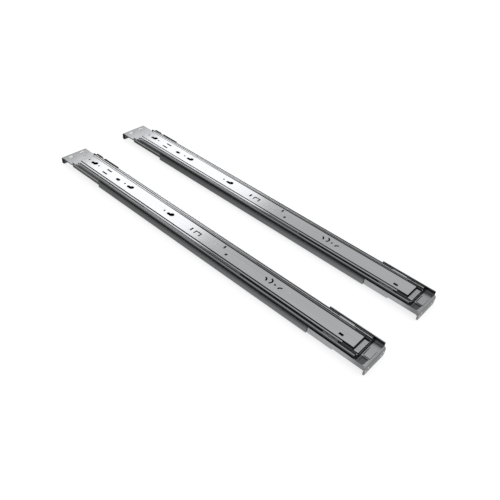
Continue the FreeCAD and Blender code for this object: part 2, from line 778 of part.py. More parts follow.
def rail_parts():
    """All pieces of one rail by node name."""
    return {
        "outer_member": make_outer_member(),
        "middle_member": make_middle_member(),
        "inner_member": make_inner_member(),
        "front_bracket": make_front_bracket(),
        "support_channel": make_support_channel(),
        "rear_bracket": make_rear_bracket(),
        "bracket_studs": make_bracket_studs(),
        "guide_studs": make_guide_studs(),
        "front_ear_nuts": ear_nuts(0.0, 1, outer_under),
        "rear_ear_nuts": ear_nuts(rail_length, -1, floor_top),
        "outer_ball_cage": make_cage(outer_cage_front, outer_ball_y, outer_cage_levels),
        "outer_balls": make_balls(outer_cage_front, outer_ball_y),
        "inner_ball_cage": make_cage(inner_cage_front, inner_ball_y, inner_cage_levels),
        "inner_balls": make_balls(inner_cage_front, inner_ball_y),
        "front_guides": make_front_guides(),
        "end_blocks": make_rear_guides(),
        "retaining_springs": make_retaining_springs(),
        "disconnect_latch": make_disconnect_latch(),
        "latch_pin": make_latch_pin(),
    }


def main():
    """Write one STEP file for each piece of both rails."""
    os.makedirs("parts", exist_ok=True)
    parts = rail_parts()
    for side, name in ((-1, "left"), (1, "right")):
        for node, shape in parts.items():
            placed = shape.copy()
            placed.translate(Vector(-rail_length / 2, side * rail_pitch / 2, 0))
            placed.exportStep(f"parts/{name}_{node}.step")


main()
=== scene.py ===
"""Looks of a pair of sliding server rails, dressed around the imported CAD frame.

Distances are metres. The frame's X runs along the rails from front to rear, Z is up and the
ground is z = 0. The near side of a rail looks along -Y and the far side along +Y.
"""

import json
import math

import bmesh
import bpy
from mathutils import Matrix, Vector

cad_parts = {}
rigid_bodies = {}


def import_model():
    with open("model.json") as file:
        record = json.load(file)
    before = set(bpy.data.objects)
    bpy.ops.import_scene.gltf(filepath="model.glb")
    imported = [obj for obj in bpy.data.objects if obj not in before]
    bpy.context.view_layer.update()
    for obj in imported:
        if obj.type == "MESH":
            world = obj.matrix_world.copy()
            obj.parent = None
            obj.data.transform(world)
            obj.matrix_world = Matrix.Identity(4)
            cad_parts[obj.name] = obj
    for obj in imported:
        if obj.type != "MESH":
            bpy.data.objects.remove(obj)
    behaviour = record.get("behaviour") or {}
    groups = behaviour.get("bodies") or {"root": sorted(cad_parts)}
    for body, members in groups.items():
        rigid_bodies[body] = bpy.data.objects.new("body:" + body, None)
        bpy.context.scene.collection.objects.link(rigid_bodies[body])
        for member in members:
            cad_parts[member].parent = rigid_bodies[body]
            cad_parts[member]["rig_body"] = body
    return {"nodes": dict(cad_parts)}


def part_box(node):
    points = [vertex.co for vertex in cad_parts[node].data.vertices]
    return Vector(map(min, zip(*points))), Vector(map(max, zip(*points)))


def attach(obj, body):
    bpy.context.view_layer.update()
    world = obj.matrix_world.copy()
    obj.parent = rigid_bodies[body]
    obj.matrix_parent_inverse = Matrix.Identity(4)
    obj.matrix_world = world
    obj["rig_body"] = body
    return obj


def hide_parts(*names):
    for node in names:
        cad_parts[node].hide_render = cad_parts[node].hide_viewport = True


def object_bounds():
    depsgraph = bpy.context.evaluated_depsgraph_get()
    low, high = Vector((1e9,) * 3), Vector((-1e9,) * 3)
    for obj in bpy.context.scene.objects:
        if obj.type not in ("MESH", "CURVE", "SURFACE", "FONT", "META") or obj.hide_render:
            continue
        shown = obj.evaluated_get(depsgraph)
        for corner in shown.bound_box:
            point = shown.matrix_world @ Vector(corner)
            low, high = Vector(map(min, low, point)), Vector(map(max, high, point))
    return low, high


bl_info = {
    "name": "Sliding Server Rails",
    "version": (1, 0, 0),
    "blender": (4, 5, 0),
    "location": "View3D > Sidebar > Server Rails",
    "description": "Finishes, fine pieces and studio for a pair of telescopic server rails",
    "category": "Object",
}

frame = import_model()
CAD_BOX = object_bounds()
NODES = frame["nodes"]
RAILS = ("left", "right")
MM = 0.001
FRONT = CAD_BOX[0][0]
REAR = CAD_BOX[1][0]
CHASSIS_LOW, CHASSIS_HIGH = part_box("left_inner_member")
TAIL = CHASSIS_HIGH[0]
WEB_TOP = CHASSIS_HIGH[2]
HALF_PITCH = -(CHASSIS_LOW[1] + CHASSIS_HIGH[1]) / 2

# Pieces of folded and rolled sheet
SHEET_PIECES = ("outer_member", "middle_member", "inner_member",
                "front_bracket", "support_channel", "rear_bracket")
# Rounding of the small parts' edges, in millimetres
SMALL_EDGES = {"front_guides": 0.25, "end_blocks": 0.3, "outer_ball_cage": 0.05,
               "inner_ball_cage": 0.05, "retaining_springs": 0.04, "bracket_studs": 0.12,
               "guide_studs": 0.12, "front_ear_nuts": 0.1, "rear_ear_nuts": 0.1,
               "disconnect_latch": 0.08, "latch_pin": 0.08}
# Dimples of the chassis web in millimetres: behind the front, beside the centre line, depth
WEB_DIMPLES = ((320.8, 0.4, 0.5), (372.2, 0.2, 0.5), (444.5, -0.7, 0.2), (447.7, 2.8, 0.2))
# Ovals of the front plate in millimetres: behind the front, beside the centre line
PLATE_EMBOSSES = ((12.5, -6.4), (15.4, 15.6), (20.0, 8.0))

WELD = 0.004 * MM         # points of a CAD mesh nearer than this are one point
FLAT_ANGLE = 1.0          # degrees: faces that turn by less are one face
SMOOTH_ANGLE = 35.0       # degrees: edges that turn by more are rounded, the rest is smooth
CUTTER_EXCESS = 1.0 * MM  # how far a cutter stands out of what it cuts
NOISE_LOW = 0.3           # most of a noise lies between these two
NOISE_HIGH = 0.7


# ---- small helpers ----
def deselect_all():
    """Nothing stays selected, so an operator meets only what is made next."""
    bpy.ops.object.select_all(action="DESELECT")


def take_up(piece):
    """Select one piece alone and make it active."""
    deselect_all()
    piece.select_set(True)
    bpy.context.view_layer.objects.active = piece


def settle(piece):
    """Leave the piece's place in its mesh and its object at the origin."""
    take_up(piece)
    bpy.ops.object.transform_apply(location=True, rotation=True, scale=True)
    return piece


def apply_all(piece):
    """Apply the modifiers of a piece in order."""
    take_up(piece)
    for modifier in list(piece.modifiers):
        bpy.ops.object.modifier_apply(modifier=modifier.name)


def soften(piece, width, segments=2, degrees=30.0):
    """Round the edges of a piece that turn by more than an angle."""
    edge = piece.modifiers.new("Soft edges", "BEVEL")
    edge.width = width
    edge.segments = segments
    edge.limit_method = "ANGLE"
    edge.angle_limit = math.radians(degrees)
    apply_all(piece)


def shade_smooth(piece, degrees):
    """Shade a piece smooth, apart from the edges that turn by more than an angle."""
    take_up(piece)
    bpy.ops.object.shade_smooth_by_angle(angle=math.radians(degrees))


def cut_away(piece, cutter):
    """Take the shape of a cutter out of a piece and remove the cutter."""
    cut = piece.modifiers.new("Cut", "BOOLEAN")
    cut.operation = "DIFFERENCE"
    cut.solver = "EXACT"
    cut.object = cutter
    apply_all(piece)
    bpy.data.objects.remove(cutter)


def cutting_block(low, high):
    """A block between two corners, for cutting."""
    deselect_all()
    middle = [(a + b) / 2 for a, b in zip(low, high)]
    bpy.ops.mesh.primitive_cube_add(size=1.0, location=middle)
    block = bpy.context.view_layer.objects.active
    block.scale = [b - a for a, b in zip(low, high)]
    return settle(block)


def body_of(node):
    """The CAD body that a node belongs to."""
    return NODES[node]["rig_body"]


def kind_of(node):
    """The kind of piece a node is, the same on both rails."""
    return node.split("_", 1)[1]


def centre_of(rail):
    """Y of a rail's centre line."""
    return -HALF_PITCH if rail == "left" else HALF_PITCH


def dress(piece, kind):
    """Give the whole piece the finish of its kind."""
    piece.data.materials.clear()
    piece.data.materials.append(finish(kind))


def stand_for(piece, node):
    """Finish a piece that stands for a CAD node, put it on the node's body and hide the node."""
    dress(piece, kind_of(node))
    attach(piece, body_of(node))
    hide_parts(node)


def add_to(piece, node, name, kind):
    """Name and finish a piece that is added to a CAD node and rides on its body."""
    piece.name = name
    dress(piece, kind)
    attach(piece, body_of(node))


def finished_copy(node, edge, cutters=()):
    """A copy of a CAD node that stands for it, with clean faces, cuts and rounded edges."""
    source = NODES[node]
    piece = source.copy()
    piece.data = source.data.copy()
    piece.name = f"{node}_finished"
    piece.parent = None
    for key in list(piece.keys()):
        del piece[key]
    bpy.context.scene.collection.objects.link(piece)
    take_up(piece)
    bpy.ops.object.mode_set(mode="EDIT")
    bpy.ops.mesh.select_all(action="SELECT")
    bpy.ops.mesh.remove_doubles(threshold=WELD)
    bpy.ops.mesh.dissolve_limited(angle_limit=math.radians(FLAT_ANGLE))
    bpy.ops.object.mode_set(mode="OBJECT")
    for cutter in cutters:
        cut_away(piece, cutter)
    soften(piece, edge, degrees=SMOOTH_ANGLE)
    shade_smooth(piece, SMOOTH_ANGLE)
    flats = piece.modifiers.new("Flat faces stay flat", "WEIGHTED_NORMAL")
    flats.keep_sharp = True
    apply_all(piece)
    stand_for(piece, node)


# ---- material building blocks ----
def grey(value):
    """An opaque grey with a trace of blue, as zinc has."""
    return (value * 0.995, value, value * 1.01, 1.0)


def is_socket(value):
    """Whether a value is a node's socket and not a number."""
    return isinstance(value, bpy.types.NodeSocket)


def socket_by_id(sockets, identifier):
    """One of a Mix node's sockets, which share their names."""
    return next(socket for socket in sockets if socket.identifier == identifier)


class Recipe:
    """A short way to build one node material."""

    def __init__(self, name, shader="ShaderNodeBsdfPrincipled"):
        self.material = bpy.data.materials.new(name)
        self.material.use_nodes = True
        self.tree = self.material.node_tree
        self.tree.nodes.clear()
        self.shader = self.add(shader)
        out = self.add("ShaderNodeOutputMaterial")
        self.link(self.shader.outputs[0], out.inputs["Surface"])

    def add(self, kind):
        """A new node."""
        return self.tree.nodes.new(kind)

    def link(self, start, end):
        """Lead an output to an input."""
        self.tree.links.new(start, end)

    def feed(self, value, end):
        """Lead an output to an input, or set the input to a value."""
        if is_socket(value):
            self.link(value, end)
        else:
            end.default_value = value

    def put(self, **values):
        """Set constants on the shader's own sockets."""
        for socket, value in values.items():
            self.shader.inputs[socket.replace("_", " ")].default_value = value

    def coordinates(self):
        """The place of each point in the piece's own frame, in metres."""
        return self.add("ShaderNodeTexCoord").outputs["Object"]

    def part_of(self, vector, axis):
        """One component of a vector."""
        split = self.add("ShaderNodeSeparateXYZ")
        self.link(vector, split.inputs["Vector"])
        return split.outputs[axis]

    def along(self, axis):
        """One object coordinate, in metres."""
        return self.part_of(self.coordinates(), axis)

    def looking(self, axis):
        """How much a face looks along an axis, from -1 to 1."""
        return self.part_of(self.add("ShaderNodeNewGeometry").outputs["Normal"], axis)

    def count(self, operation, first, second=None):
        """One step of arithmetic on sockets or numbers."""
        step = self.add("ShaderNodeMath")
        step.operation = operation
        self.feed(first, step.inputs[0])
        if second is not None:
            self.feed(second, step.inputs[1])
        return step.outputs[0]

    def above(self, value, limit):
        """1 where a value is above a limit, else 0."""
        return self.count("GREATER_THAN", value, limit)

    def below(self, value, limit):
        """1 where a value is below a limit, else 0."""
        return self.count("LESS_THAN", value, limit)

    def both(self, first, second):
        """The product of two values, which is 1 where both are 1."""
        return self.count("MULTIPLY", first, second)

    def across(self):
        """Distance from the centre line of the nearer rail, in metres."""
        away = self.count("ABSOLUTE", self.along("Y"))
        return self.count("ABSOLUTE", self.count("SUBTRACT", away, HALF_PITCH))

    def sideways(self):
        """Signed distance from the centre line of the nearer rail, in metres."""
        y = self.along("Y")
        return self.count("SUBTRACT", y, self.count("MULTIPLY", self.count("SIGN", y), HALF_PITCH))

    def far_side(self):
        """1 on the far half of each rail, 0 on the near half."""
        return self.above(self.sideways(), 0.0)

    def rise(self, value, start, end, low=0.0, high=1.0):
        """Goes from low to high while a value goes from start to end."""
        remap = self.add("ShaderNodeMapRange")
        remap.inputs["From Min"].default_value = start
        remap.inputs["From Max"].default_value = end
        remap.inputs["To Min"].default_value = low
        remap.inputs["To Max"].default_value = high
        self.link(value, remap.inputs["Value"])
        return remap.outputs["Result"]

    def passing(self, start, end, low=0.0, high=1.0):
        """Goes from low to high between two places along the rails."""
        return self.rise(self.along("X"), start, end, low, high)

    def upward(self):
        """1 on faces that look up, 0 on walls and undersides."""
        return self.rise(self.looking("Z"), 0.25, 0.85)

    def ramp(self, value, stops):
        """Greys at places along a value, from (place, reflectance) stops."""
        ramp = self.add("ShaderNodeValToRGB")
        elements = ramp.color_ramp.elements
        while len(elements) < len(stops):
            elements.new(0.5)
        for element, (place, shade) in zip(elements, stops):
            element.position = place
            element.color = grey(shade)
        self.link(value, ramp.inputs["Fac"])
        return ramp.outputs["Color"]

    def mixed(self, factor, first, second, kind="MIX"):
        """Mix two colours, each a socket or the reflectance of a grey."""
        mix = self.add("ShaderNodeMix")
        mix.data_type = "RGBA"
        mix.blend_type = kind
        self.feed(factor, socket_by_id(mix.inputs, "Factor_Float"))
        for value, identifier in ((first, "A_Color"), (second, "B_Color")):
            colour = value if is_socket(value) else grey(value)
            self.feed(colour, socket_by_id(mix.inputs, identifier))
        return socket_by_id(mix.outputs, "Result_Color")

    def multiplied(self, first, second):
        """The product of two colours."""
        return self.mixed(1.0, first, second, "MULTIPLY")

    def noise(self, scale, detail, roughness=0.5, stretch=(1, 1, 1)):
        """Noise over the piece, its coordinates stretched along each axis."""
        mapping = self.add("ShaderNodeMapping")
        mapping.inputs["Scale"].default_value = stretch
        self.link(self.coordinates(), mapping.inputs["Vector"])
        texture = self.add("ShaderNodeTexNoise")
        texture.inputs["Scale"].default_value = scale
        texture.inputs["Detail"].default_value = detail
        texture.inputs["Roughness"].default_value = roughness
        self.link(mapping.outputs["Vector"], texture.inputs["Vector"])
        return texture.outputs["Fac"]

    def varied(self, noise, low, high):
        """Numbers from low to high that follow a noise."""
        return self.rise(noise, NOISE_LOW, NOISE_HIGH, low, high)

    def mottled(self, noise, low, high):
        """Greys from low to high that follow a noise."""
        return self.ramp(noise, [(NOISE_LOW, low), (NOISE_HIGH, high)])

    def bump(self, value, strength):
        """Let a texture seem to raise the surface by up to a tenth of a millimetre."""
        bump = self.add("ShaderNodeBump")
        bump.inputs["Strength"].default_value = strength
        bump.inputs["Distance"].default_value = 0.1 * MM
        self.link(value, bump.inputs["Height"])
        self.link(bump.outputs["Normal"], self.shader.inputs["Normal"])

    def done(self, colour, roughness):
        """The material, with its colour and its roughness led to the shader."""
        self.link(colour, self.shader.inputs["Base Color"])
        self.link(roughness, self.shader.inputs["Roughness"])
        return self.material


# ---- finishes, several with painted light and shade ----
def drawn_strip(recipe, shade, rough):
    """Fine lines along the rolling direction and a faint cloud over a shade."""
    recipe.put(Metallic=1.0)
    lines = recipe.noise(1.0, 3.0, 0.6, stretch=(5, 700, 700))
    cloud = recipe.noise(1.0, 4.0, 0.55, stretch=(16, 60, 60))
    wear = recipe.multiplied(recipe.mottled(cloud, 0.94, 1.0), recipe.mottled(lines, 0.96, 1.0))
    recipe.bump(lines, 0.03)
    roughness = recipe.varied(lines, rough * 0.85, rough * 1.2)
    return recipe.done(recipe.multiplied(shade, wear), roughness)


def chassis_steel(name, looks):
    """Polished web, darker in front, with painted shade in the groove along each edge and a rim
    beyond.

    The rims and the folds outside them carry a painted highlight in front and painted shade behind;
    walls carry painted shade.
    """
    groove_reach = 16 * MM
    far_shift = 0.7 * MM
    rim_start = 12.85 * MM
    fold_start = 13.2 * MM
    recipe = Recipe(name)
    far = recipe.far_side()
    # Painted shade: a near-black band over each groove beside the web. On the far side it sits 0.7
    # mm nearer the centre line, where only this painted shade shows the groove.
    edge = recipe.count("ADD", recipe.across(), recipe.count("MULTIPLY", far, far_shift))
    groove = [(11.0 * MM, looks.polished_shade), (11.25 * MM, looks.painted_groove_shade),
              (12.6 * MM, looks.painted_groove_shade), (12.9 * MM, looks.polished_shade)]
    web = recipe.ramp(recipe.rise(edge, 0.0, groove_reach),
                      [(place / groove_reach, shade) for place, shade in groove])
    web = recipe.multiplied(web, recipe.passing(FRONT + 39 * MM, FRONT + 66 * MM, low=0.68))
    # Painted highlight and shade: the near rims, the far rims and the far folds outside them are
    # near white in front and much darker towards the rear, as light caught on their rounded edges.
    near_rim = recipe.mixed(recipe.passing(0.0, 40 * MM),
                            looks.painted_highlight_shade, looks.polished_shade * 0.5)
    far_rim = recipe.mixed(recipe.passing(-140 * MM, 0.0), looks.painted_highlight_shade, 0.08)
    far_fold = recipe.mixed(recipe.passing(-10 * MM, 100 * MM), looks.painted_highlight_shade, 0.4)
    outside = recipe.above(recipe.across(), fold_start)
    rim = recipe.mixed(far, near_rim, recipe.mixed(outside, far_rim, far_fold))
    top = recipe.mixed(recipe.above(edge, rim_start), web, rim)
    # Painted shade: faces that do not look up, such as groove and slot walls, are painted nearly
    # black.
    facing = recipe.rise(recipe.looking("Z"), 0.0, 0.35)
    return drawn_strip(recipe, recipe.mixed(facing, looks.painted_gap_shade, top), rough=0.14)


def middle_steel(name, looks):
    """Web painted dark as painted shade under the chassis member, pale behind its tail, with rims
    that carry a painted highlight in front and painted shade towards the rear.
    """
    rim_start = 14 * MM
    recipe = Recipe(name)
    behind = recipe.passing(TAIL + 1.6 * MM, TAIL + 1.8 * MM)
    # Painted shade: the web is painted nearly black as the shade under the chassis member and
    # through its holes; only the part behind the tail keeps the rear plate's tone.
    web = recipe.mixed(behind, looks.painted_dark_middle_shade, looks.bracket_shade)
    far = recipe.far_side()
    # Painted highlight and shade: the rims are lighter in front than behind, and the far rims
    # lighter than the near ones.
    front_rim = recipe.mixed(far, looks.rim_top_shade, 0.8)
    rear_rim = recipe.mixed(far, looks.painted_dark_middle_shade * 0.5, 0.6)
    rim = recipe.mixed(recipe.passing(-10 * MM, 30 * MM), front_rim, rear_rim)
    top = recipe.mixed(recipe.above(recipe.across(), rim_start), web, rim)
    # Painted shade: the middle member's walls and undersides are painted nearly black.
    return drawn_strip(recipe, recipe.mixed(recipe.upward(), looks.painted_gap_shade, top), rough=0.28)


def wall_steel(name, top, rim, foot_front, foot_rear, rough):
    """Walls painted darker from the foot up to the rim as painted shade, with upward rims brightest
    in front as a painted highlight.
    """
    lip_shade = 0.44
    recipe = Recipe(name)
    # Painted shade: the walls are painted lighter at the foot and nearly black near the rim, and
    # their feet lighter towards the rear.
    foot = recipe.mixed(recipe.passing(FRONT + 90 * MM, REAR - 90 * MM), foot_front, foot_rear)
    height = recipe.ramp(recipe.rise(recipe.along("Z"), 3 * MM, 19 * MM),
                         [(0.0, 0.0), (0.2, 0.25), (0.5, 0.4), (0.78, 1.0), (1.0, 0.9)])
    wall = recipe.mixed(height, foot, rim)
    # Painted highlight: upward faces on the far side are painted three times as light in front,
    # fading towards the rear.
    far_rim = recipe.mixed(recipe.passing(0.0, REAR - 60 * MM), top * 3.0, top)
    rims = recipe.mixed(recipe.far_side(), top, far_rim)
    lip = recipe.passing(FRONT + 44 * MM, FRONT + 50 * MM, low=1.0, high=0.0)
    rims = recipe.mixed(lip, rims, lip_shade)
    # Upward faces take the rim tones and walls the painted shade, lit and shaded looks of one steel.
    return drawn_strip(recipe, recipe.mixed(recipe.upward(), wall, rims), rough)


def pressed_sheet(recipe, shade, rough, shine=None):
    """A soft spangle and cloud over a shade, as on zinc-plated pressed sheet.

    Where shine is given, it is taken off the roughness.
    """
    recipe.put(Metallic=1.0)
    cells = recipe.add("ShaderNodeTexVoronoi")
    cells.inputs["Scale"].default_value = 240
    recipe.link(recipe.coordinates(), cells.inputs["Vector"])
    tone = recipe.add("ShaderNodeSeparateColor")
    recipe.link(cells.outputs["Color"], tone.inputs["Color"])
    spangle = recipe.ramp(tone.outputs["Red"], [(0.0, 0.95), (1.0, 1.0)])
    cloud = recipe.noise(45, 4.0)
    wear = recipe.multiplied(recipe.mottled(cloud, 0.9, 1.0), spangle)
    fine = recipe.noise(600, 2.0)
    recipe.bump(fine, 0.02)
    roughness = recipe.varied(fine, rough * 0.9, rough * 1.15)
    if shine is not None:
        roughness = recipe.count("SUBTRACT", roughness, shine)
    return recipe.done(recipe.multiplied(shade, wear), roughness)


def front_plate_steel(name, looks):
    """Front plate that lightens to the rear, with glossier hole walls painted bright as a painted
    reflection and an ear and tongue in painted shade.
    """
    plate_thickness = 1.9 * MM
    hole_reach = 18 * MM
    hole_end = FRONT + 16 * MM
    near_limit = -8 * MM
    shine_of_walls = 0.26
    recipe = Recipe(name)
    plate_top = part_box("left_front_bracket")[1][2]
    # Painted reflection: the walls of the front holes, and the ear's face that looks to the rear
    # apart from its near end, are painted near white, so the holes seem to show the white floor.
    high = recipe.above(recipe.along("Z"), plate_top - plate_thickness)
    hole = recipe.both(recipe.below(recipe.across(), hole_reach),
                       recipe.below(recipe.along("X"), hole_end))
    rearward = recipe.both(recipe.above(recipe.sideways(), near_limit),
                           recipe.above(recipe.looking("X"), 0.5))
    light = recipe.count("MAXIMUM", recipe.both(high, hole), rearward)
    # Painted shade: the plate's other walls, the ear and the tongue are painted nearly black.
    side = recipe.mixed(light, looks.painted_ear_shade, looks.painted_highlight_shade)
    flat = recipe.mixed(recipe.passing(FRONT, FRONT + 42 * MM),
                        looks.plate_shade * 0.7, looks.plate_shade * 1.3)
    wall_light = recipe.count("MAXIMUM", recipe.count("SUBTRACT", light, recipe.upward()), 0.0)
    shine = recipe.count("MULTIPLY", wall_light, shine_of_walls)
    return pressed_sheet(recipe, recipe.mixed(recipe.upward(), side, flat), 0.3, shine)


def rear_plate_steel(name, looks):
    """Pale pad and wing feet, with painted shade in the recess beside the pad, on the wing tops and
    on the ear.
    """
    recess_edge = -8.6 * MM
    recess_end = REAR - 5.0 * MM
    recipe = Recipe(name)
    pad_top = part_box("left_rear_bracket")[1][2] - 5.4 * MM
    # Painted shade: the upward faces of the recess beside the pad are painted dark.
    recess = recipe.both(recipe.below(recipe.sideways(), recess_edge),
                         recipe.below(recipe.along("X"), recess_end))
    flat = recipe.mixed(recess, looks.bracket_shade, looks.painted_recess_shade)
    end = recipe.passing(REAR - 26 * MM, REAR - 10 * MM)
    foot = recipe.mixed(end, looks.wing_shade, looks.wing_shade * 0.6)
    # Painted shade: walls above the level of the pad, such as the wing tops, are painted nearly
    # black.
    over_pad = recipe.rise(recipe.along("Z"), pad_top + 0.7 * MM, pad_top + 0.9 * MM)
    wing = recipe.mixed(over_pad, foot, looks.painted_ear_shade)
    # Painted shade: the faces that look to the rear, those of the ear, are painted dark.
    outward = recipe.rise(recipe.looking("X"), 0.4, 0.8)
    side = recipe.mixed(outward, wing, looks.painted_rear_ear_shade)
    return pressed_sheet(recipe, recipe.mixed(recipe.upward(), side, flat), 0.3)


def fastener_steel(name, shade, rough):
    """Zinc-plated turned and formed small parts."""
    return pressed_sheet(Recipe(name), shade, rough)


def bright_steel(name, shade, rough):
    """Polished hard steel with a faint haze."""
    recipe = Recipe(name)
    recipe.put(Metallic=1.0)
    haze = recipe.noise(400, 2.0)
    return recipe.done(recipe.mottled(haze, shade * 0.94, shade),
                       recipe.varied(haze, rough * 0.7, rough * 1.3))


def moulded_plastic(name, shade, rough):
    """Black moulded plastic with a fine spark-eroded grain."""
    recipe = Recipe(name)
    recipe.put(Metallic=0.0, Specular_IOR_Level=0.35)
    grain = recipe.noise(1800, 2.0)
    recipe.bump(grain, 0.1)
    return recipe.done(recipe.mottled(grain, shade * 0.8, shade * 1.2),
                       recipe.varied(grain, rough * 0.9, rough * 1.1))


def finish(kind):
    """The material of a kind of piece, made once."""
    name = f"{kind}_finish"
    found = bpy.data.materials.get(name)
    if found:
        return found
    looks = bpy.context.scene.rail_looks
    makers = {
        "inner_member": (chassis_steel, looks),
        "middle_member": (middle_steel, looks),
        # Outer member and channel: walls in painted shade, nearly black at the rim and lighter at
        # the foot.
        "outer_member": (wall_steel, looks.outer_shade, looks.painted_wall_top_shade,
                         looks.painted_wall_top_shade, looks.painted_wall_foot_shade, 0.32),
        "support_channel": (wall_steel, looks.outer_shade, looks.painted_wall_top_shade,
                            looks.painted_wall_foot_shade * 0.6, looks.painted_wall_foot_shade * 1.5, 0.36),
        "front_bracket": (front_plate_steel, looks),
        "rear_bracket": (rear_plate_steel, looks),
        "front_guides": (moulded_plastic, 0.012, 0.5),
        "end_blocks": (moulded_plastic, 0.012, 0.45),
        "outer_ball_cage": (fastener_steel, 0.2, 0.35),
        "inner_ball_cage": (fastener_steel, 0.3, 0.35),
        "outer_balls": (bright_steel, 0.8, 0.1),
        "inner_balls": (bright_steel, 0.8, 0.1),
        "retaining_springs": (bright_steel, 0.42, 0.3),
        # Painted shade: the near leaf is painted dark; the far leaf keeps about the spring steel's
        # own tone.
        "near_leaf": (bright_steel, 0.12, 0.35),
        "far_leaf": (bright_steel, 0.5, 0.3),
        # Painted shade: the front ear nuts are nearly black, as the shade under the front plate.
        "front_ear_nuts": (fastener_steel, 0.08, 0.35),
        # Painted shade: the tab below the rear slot is nearly black, as the shade in the slot.
        "slot_tab": (fastener_steel, 0.03, 0.4),
    }
    maker, *values = makers.get(kind, (fastener_steel, 0.5, 0.3))
    return maker(name, *values)


# ---- settings ----
def shade_setting(name, description, value):
    """A reflectance that the user may change."""
    return bpy.props.FloatProperty(
        name=name, description=description, default=value, min=0.0, max=1.0, subtype="FACTOR")


def size_setting(name, description, millimetres):
    """A size that the user may change."""
    return bpy.props.FloatProperty(
        name=name, description=description, default=millimetres * MM, min=0.0, precision=5,
        unit="LENGTH")


class RailLooks(bpy.types.PropertyGroup):
    """Shades of the finishes; several of them are painted light and shade."""

    polished_shade: shade_setting("Chassis member", "Reflectance of the inner member's web", 0.56)
    # painted shade in the grooves beside the chassis web
    painted_groove_shade: shade_setting("Groove", "Reflectance of the grooves beside that web", 0.01)
    # painted highlight on the brightest edges, and painted reflection on the front plate's hole
    # walls
    painted_highlight_shade: shade_setting("Bright edges", "Reflectance of the brightest edges", 0.95)
    # painted shade over the middle member, which lies under the chassis member
    painted_dark_middle_shade: shade_setting("Middle member", "Reflectance of the middle member", 0.07)
    outer_shade: shade_setting("Outer rims", "Reflectance of the upward faces outside", 0.22)
    # painted highlight on the near middle rims in front
    rim_top_shade: shade_setting("Middle rims", "Reflectance of the middle member's rims", 0.3)
    # painted shade on the walls in the gaps and slots
    painted_gap_shade: shade_setting("Gap walls", "Reflectance of the walls in the gaps", 0.05)
    # painted shade at the top of the outer walls
    painted_wall_top_shade: shade_setting("Wall at the rim", "Reflectance of the outer walls near the top", 0.03)
    # painted shade at the foot of the outer walls, lighter than at the top
    painted_wall_foot_shade: shade_setting("Wall at the foot", "Reflectance of the outer walls at the base", 0.17)
    plate_shade: shade_setting("Front plate", "Reflectance of the front plate", 0.44)
    # painted shade on the front ear, its tongue and the rear wings' tops
    painted_ear_shade: shade_setting("Front ear", "Reflectance of the front ear and tongue", 0.04)
    bracket_shade: shade_setting("Rear plate", "Reflectance of the rear bracket's plate", 0.42)
    # painted shade in the recess beside the pad
    painted_recess_shade: shade_setting("Recess", "Reflectance of the recess beside the pad", 0.11)
    wing_shade: shade_setting("Wings", "Reflectance of the rear bracket's wings", 0.36)
    # painted shade on the rear ear
    painted_rear_ear_shade: shade_setting("Rear ear", "Reflectance of the rear ear", 0.08)


class RailSizes(bpy.types.PropertyGroup):
    """Sizes of the fine pieces."""

    sheet_edge: size_setting("Sheet edges", "Rounding of the sheet-metal edges", 0.12)
    dimple_radius: size_setting("Dimples", "Radius of the ball that presses a dimple", 1.9)
    leaf_width: size_setting("Leaf width", "Width of a spring leaf", 2.5)
    leaf_thickness: size_setting("Leaf thickness", "Thickness of a spring leaf", 0.25)
    leaf_swing: size_setting("Leaf wave", "How far the near leaves swing to each side", 0.5)
    emboss_height: size_setting("Ovals", "Height of the ovals on the front plate", 0.35)
    ball_radius: size_setting("Balls", "Radius of a bearing ball", 1.0)


class RailStage(bpy.types.PropertyGroup):
    """Camera and studio."""

    lens: bpy.props.FloatProperty(
        name="Lens", description="Focal length on a 36 mm sensor", default=40.85, unit="CAMERA")
    top_power: bpy.props.FloatProperty(
        name="Top light", description="Power of the large softbox overhead",
        default=14.0, unit="POWER")
    web_power: bpy.props.FloatProperty(
        name="Web light", description="Power of the softbox mirrored in the front of the webs",
        default=3.6, unit="POWER")
    room_level: bpy.props.FloatProperty(
        name="Room", description="Brightness of the room around the rails", default=0.72)
    floor_shade: shade_setting("Floor", "Reflectance of the floor", 0.34)
    floor_glow: bpy.props.FloatProperty(
        name="Floor glow", description="Light that the camera and mirrors see on the floor",
        default=0.76)


